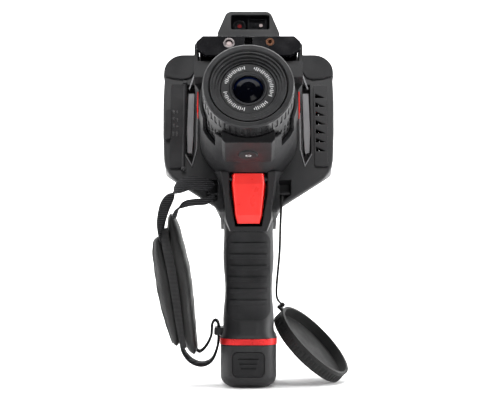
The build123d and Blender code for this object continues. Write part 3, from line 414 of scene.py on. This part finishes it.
# ---------------------------------------------------------------------------
# Hand strap
# ---------------------------------------------------------------------------
def hand_strap():
    """Two pads, the pad's knitted edge and three webs.

    The strips are narrower, so each declares 10 mm and its area carries the true mean
    width.
    """
    outer, rows = padded_strip("strap_pad_outer_skin", [
        (-66.4, 110.5, 3.0, -33.0, 4.0), (-65.2, 100.7, 5.8, -35.0, 6.5),
        (-62.2, 86.0, 7.2, -36.0, 7.5), (-59.5, 71.0, 7.8, -36.0, 7.5),
        (-56.5, 55.0, 7.0, -35.5, 7.0), (-54.0, 42.0, 5.4, -34.0, 5.5),
        (-52.6, 31.0, 2.6, -30.0, 2.0)], LEATHER)
    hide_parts("strap_pad_outer")
    inner, _ = padded_strip("strap_pad_inner_skin", [
        (-57.0, 127.5, 1.8, -31.0, 2.0), (-55.4, 117.0, 4.6, -34.0, 5.0),
        (-52.6, 100.0, 6.2, -36.0, 7.0), (-49.6, 85.0, 6.6, -36.0, 8.0),
        (-47.5, 70.0, 6.5, -36.0, 8.0), (-45.4, 52.0, 6.0, -35.5, 7.0),
        (-43.0, 36.0, 5.0, -34.0, 6.0), (-39.6, 25.0, 2.6, -30.0, 2.0)], LEATHER)
    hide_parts("strap_pad_inner")
    binding, length, width = strap("strap_knit_edge", [
        (-61.0, -33.0, 117.0, 5.0, 1, 0, 0.2), (-59.4, -36.0, 104.0, 6.0, 1, 0, 0.2),
        (-56.0, -37.2, 88.0, 6.0, 1, 0, 0.2), (-53.0, -37.4, 70.0, 5.6, 1, 0, 0.1),
        (-50.6, -36.8, 52.0, 5.0, 1, 0, 0.1), (-48.6, -35.0, 38.0, 4.4, 1, 0, 0.1),
        (-47.0, -31.0, 30.0, 4.0, 1, 0, 0.1)], 1.4, KNIT)
    upper, length, width = strap("strap_web_flat", [
        (-26.4, -35.6, 146.4, 7.0, 0.6, 0, 0.8), (-30.0, -39.4, 148.4, 8.5, 0.2, 0.1, 1),
        (-37.0, -42.0, 149.8, 9.5, 0, 0.15, 1), (-44.0, -42.6, 149.2, 10.0, 0.2, 0.2, 1),
        (-51.6, -41.8, 145.0, 10.0, 0.6, 0.35, 1), (-58.4, -40.4, 136.6, 10.0, 1, 0.6, 0.4),
        (-62.0, -37.4, 126.6, 10.0, 0.8, 1, 0), (-63.4, -33.0, 117.0, 10.0, 0.4, 1, 0),
        (-62.6, -28.0, 107.0, 10.0, 0.2, 1, 0)], 1.5, WEBBING)
    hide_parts("strap_web_upper")
    thin, length, width = strap("strap_web_thin", [
        (-24.6, -38.0, 140.6, 4.4, 0.2, 0, 1), (-30.6, -42.0, 136.6, 4.8, 0, 0.1, 1),
        (-38.0, -43.4, 136.0, 5.0, 0, 0.1, 1), (-45.4, -42.6, 134.6, 5.0, 0.3, 0.3, 1),
        (-51.4, -40.0, 130.6, 5.0, 0.6, 0.8, 0.4), (-53.6, -35.0, 124.6, 5.0, 0.4, 1, 0)],
        1.2, WEBBING)
    lower, length, width = strap("strap_web_loop", [
        (-50.6, -4.0, 32.0, 9.0, 0, 1, 0.1), (-48.4, -2.0, 24.0, 9.0, 0.1, 1, 0.1),
        (-43.0, -1.0, 17.4, 9.0, 0.1, 1, 0.2), (-35.0, -0.6, 14.6, 9.0, 0, 1, 0.2),
        (-27.4, 0.0, 18.0, 9.0, 0, 1, 0.1), (-23.2, 0.0, 28.0, 9.0, 0, 1, 0),
        (-22.4, 0.0, 38.0, 9.0, 0, 1, 0), (-22.6, 0.0, 45.0, 9.0, 0, 1, 0),
        (-24.9, 0.0, 47.6, 9.0, 0, 1, 0), (-27.2, 0.0, 44.6, 9.0, 0, 1, 0),
        (-28.0, 0.0, 36.0, 9.0, 0, 1, 0), (-31.6, 0.0, 28.6, 9.0, 0, 1, 0),
        (-36.4, 0.0, 24.4, 9.0, 0, 1, 0), (-41.0, -2.0, 28.0, 9.0, 0, 1, 0)],
        2.0, WEBBING)
    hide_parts("strap_web_lower")
    stitching(rows)


def stitching(rows):
    """Thread dashes just inside the outer pad's front edge."""
    vertices, faces = [], []
    for i in range(STITCH_FIRST, len(rows) - STITCH_LAST):
        for part in STITCH_PARTS:
            low, high = rows[i], rows[i + 1]
            x = low[0] + (high[0] - low[0]) * part
            z = low[1] + (high[1] - low[1]) * part
            base = len(vertices)
            left, near = x - low[2] * 0.80, low[3] + 4.2
            for dx in (-0.2, 0.2):
                for dy in (-0.25, 0.25):
                    for dz in (-0.75, 0.75):
                        vertices.append(mm(left + dx, near + dy, z + dz))
            faces += [tuple(base + k for k in quad) for quad in
                      ((0, 1, 3, 2), (4, 6, 7, 5), (0, 4, 5, 1),
                       (2, 3, 7, 6), (0, 2, 6, 4), (1, 5, 7, 3))]
    mesh_piece("strap_stitching", vertices, faces, KNIT)


# ---------------------------------------------------------------------------
# Lens cap's tether
# ---------------------------------------------------------------------------
TETHER = [(24.4, -37.0, 140.2), (24.0, -43.0, 137.6), (23.2, -45.2, 128.5), (22.8, -42.0, 115.0),
          (22.6, -34.0, 99.0), (21.4, -22.0, 84.0), (20.6, -8.0, 70.5), (21.4, 4.0, 62.0),
          (24.945, 10.21, 58.802)]
TETHER_D = 0.0018


def tether():
    curve = bpy.data.curves.new("tether", "CURVE")
    curve.dimensions = "3D"
    curve.bevel_depth = TETHER_D / 2
    curve.bevel_resolution = 4
    curve.resolution_u = 16
    spline = curve.splines.new("NURBS")
    spline.points.add(len(TETHER) - 1)
    for point, place in zip(spline.points, TETHER):
        point.co = (*mm(*place), 1.0)
    spline.order_u = 3
    spline.use_endpoint_u = True
    line = bpy.data.objects.new("tether", curve)
    bpy.context.scene.collection.objects.link(line)
    curve.materials.append(BRAID)
    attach(line, "cap")
    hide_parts("tether_cord")
    paint(NODES["tether_knot"], BRAID)


# ---------------------------------------------------------------------------
# Generic markings
# ---------------------------------------------------------------------------
def ring_marks():
    """Short dashes round the lens's name ring, in place of lettering."""
    vertices, faces = [], []
    for start, end in ((100, 170), (190, 262), (285, 325), (340, 440)):
        for degree in range(start, end, 5):
            angle = math.radians(degree)
            long = 1.3 if (degree // 5) % 3 else 0.7
            out = Vector((math.cos(angle), math.sin(angle)))
            side = Vector((-out.y, out.x))
            base = len(vertices)
            for radius in (RING_MARK_RADIUS - long, RING_MARK_RADIUS + long):
                for shift in (-RING_MARK_HALF_WIDTH, RING_MARK_HALF_WIDTH):
                    place = out * radius + side * shift
                    vertices.append(head(place.x, place.y, RING_FACE_A))
            faces.append((base, base + 2, base + 3, base + 1))
    mesh_piece("lens_ring_marks", vertices, faces, MARK, smooth=False)


def button_mark():
    """A small generic ring on the round button under the turret."""
    vertices, faces = [], []
    count = 24
    for i in range(count):
        angle = 2 * math.pi * i / count
        for radius in (1.5, 2.0):
            forward = BUTTON_MARK_A + radius * BUTTON_SQUASH * math.sin(angle)
            vertices.append(head(radius * math.cos(angle), BUTTON_MARK_W, forward))
    for i in range(count):
        k = (i + 1) % count
        faces.append((2 * i, 2 * i + 1, 2 * k + 1, 2 * k))
    mesh_piece("button_mark", vertices, faces, MARK, "turret_key", smooth=False)


def flat_disc(name, x, w, a, radius, material):
    """Disc of the given radius that faces forward on the head."""
    count = 20
    rim = [head(x + radius * math.cos(2 * math.pi * i / count),
                w + radius * math.sin(2 * math.pi * i / count), a) for i in range(count)]
    mesh_piece(name, rim, [tuple(range(count))], material, smooth=False)


def hood_details():
    """Red glint of the visible-light camera and the pale face of the sensor beside it."""
    flat_disc("camera_lens_glint", CAMERA_X, CAMERA_W, 36.3, 1.5, GLINT)
    flat_disc("camera_sensor_face", 9.0, 73.2, 36.5, 1.3, LAMP_LENS)


def port_icons():
    """Small raised rectangles on the port cover, in place of its pictograms."""
    vertices, faces = [], []
    for x, w, wide, high in (
            (-55.2, 20.0, 1.6, 2.6), (-52.6, 20.2, 1.0, 2.2), (-55.2, 14.6, 1.8, 2.0),
            (-52.4, 13.4, 1.2, 2.8), (-55.0, 9.0, 1.4, 3.0), (-52.4, 8.2, 1.6, 1.2),
            (-55.2, 2.4, 1.6, 3.6), (-52.6, 2.4, 1.4, 3.6)):
        base = len(vertices)
        for a in (ICON_BACK, ICON_FRONT):
            for dx, dw in ((-1, -1), (1, -1), (1, 1), (-1, 1)):
                vertices.append(head(x + dx * wide / 2, w + dw * high / 2, a))
        faces.append(tuple(base + k for k in (4, 5, 6, 7)))
        faces += [(base + k, base + (k + 1) % 4, base + 4 + (k + 1) % 4, base + 4 + k)
                  for k in range(4)]
    mesh_piece("port_cover_icons", vertices, faces, ICON, "port_door", smooth=False)


# ---------------------------------------------------------------------------
# Studio
# ---------------------------------------------------------------------------
def sweep_backdrop():
    """Pale floor that curves up into the wall behind."""
    shader = Shader("backdrop", (0.92, 0.92, 0.92), roughness=0.9)
    shader.tint(shader.noise(3.0), (0.90, 0.90, 0.90), (0.94, 0.94, 0.94))
    profile = [(-3.0, 0.0), (1.2, 0.0)]
    profile += [(1.2 + 0.8 * math.sin(t), 0.8 - 0.8 * math.cos(t))
                for t in (math.radians(5 * i) for i in range(1, 19))]
    profile.append((2.0, 4.0))
    vertices = [(x, y, z - 0.0002) for y, z in profile for x in (-4.0, 4.0)]
    faces = [(2 * i, 2 * i + 1, 2 * i + 3, 2 * i + 2) for i in range(len(profile) - 1)]
    mesh = bpy.data.meshes.new("backdrop")
    mesh.from_pydata(vertices, [], faces)
    for polygon in mesh.polygons:
        polygon.use_smooth = True
    obj = bpy.data.objects.new("backdrop", mesh)
    bpy.context.scene.collection.objects.link(obj)
    obj.data.materials.append(shader.material)


def area_light(name, place, target, size, power):
    """Rectangular soft light at a place, turned towards a target."""
    light = bpy.data.lights.new(name, "AREA")
    light.shape = "RECTANGLE"
    light.size, light.size_y = size
    light.energy = power
    obj = bpy.data.objects.new(name, light)
    obj.location = place
    aim = Vector(target) - Vector(place)
    obj.rotation_euler = aim.to_track_quat("-Z", "Y").to_euler()
    bpy.context.scene.collection.objects.link(obj)


def studio():
    sweep_backdrop()
    world = bpy.data.worlds.new("studio")
    world.use_nodes = True
    world.node_tree.nodes["Background"].inputs["Color"].default_value = (0.95, 0.96, 1.0, 1.0)
    world.node_tree.nodes["Background"].inputs["Strength"].default_value = 0.17
    bpy.context.scene.world = world
    bpy.context.scene.view_settings.view_transform = "Standard"
    middle = (0.0, 0.0, 0.15)
    area_light("key_top", (0.0, -0.30, 1.0), middle, (0.8, 0.3), 9.0)
    area_light("side_left", (-0.85, 0.0, 0.30), middle, (0.2, 0.7), 7.0)
    area_light("side_right", (0.85, 0.0, 0.30), middle, (0.2, 0.7), 8.0)
    area_light("front_fill", (0.35, -1.3, 0.55), middle, (0.35, 0.3), 3.4)
    area_light("wall", (0.0, 0.7, 1.7), (0.0, 1.9, 0.3), (3.4, 1.2), 110.0)


def photo_camera():
    data = bpy.data.cameras.new("camera")
    data.sensor_width = 36.0
    data.lens = 96.0
    obj = bpy.data.objects.new("camera", data)
    obj.location = (0.0011, -1.0, 0.1375)
    obj.rotation_euler = (math.radians(90.0), 0.0, 0.0)
    bpy.context.scene.collection.objects.link(obj)
    bpy.context.scene.camera = obj


photo_camera()
tether()
hand_strap()
ring_marks()
button_mark()
hood_details()
port_icons()
studio()
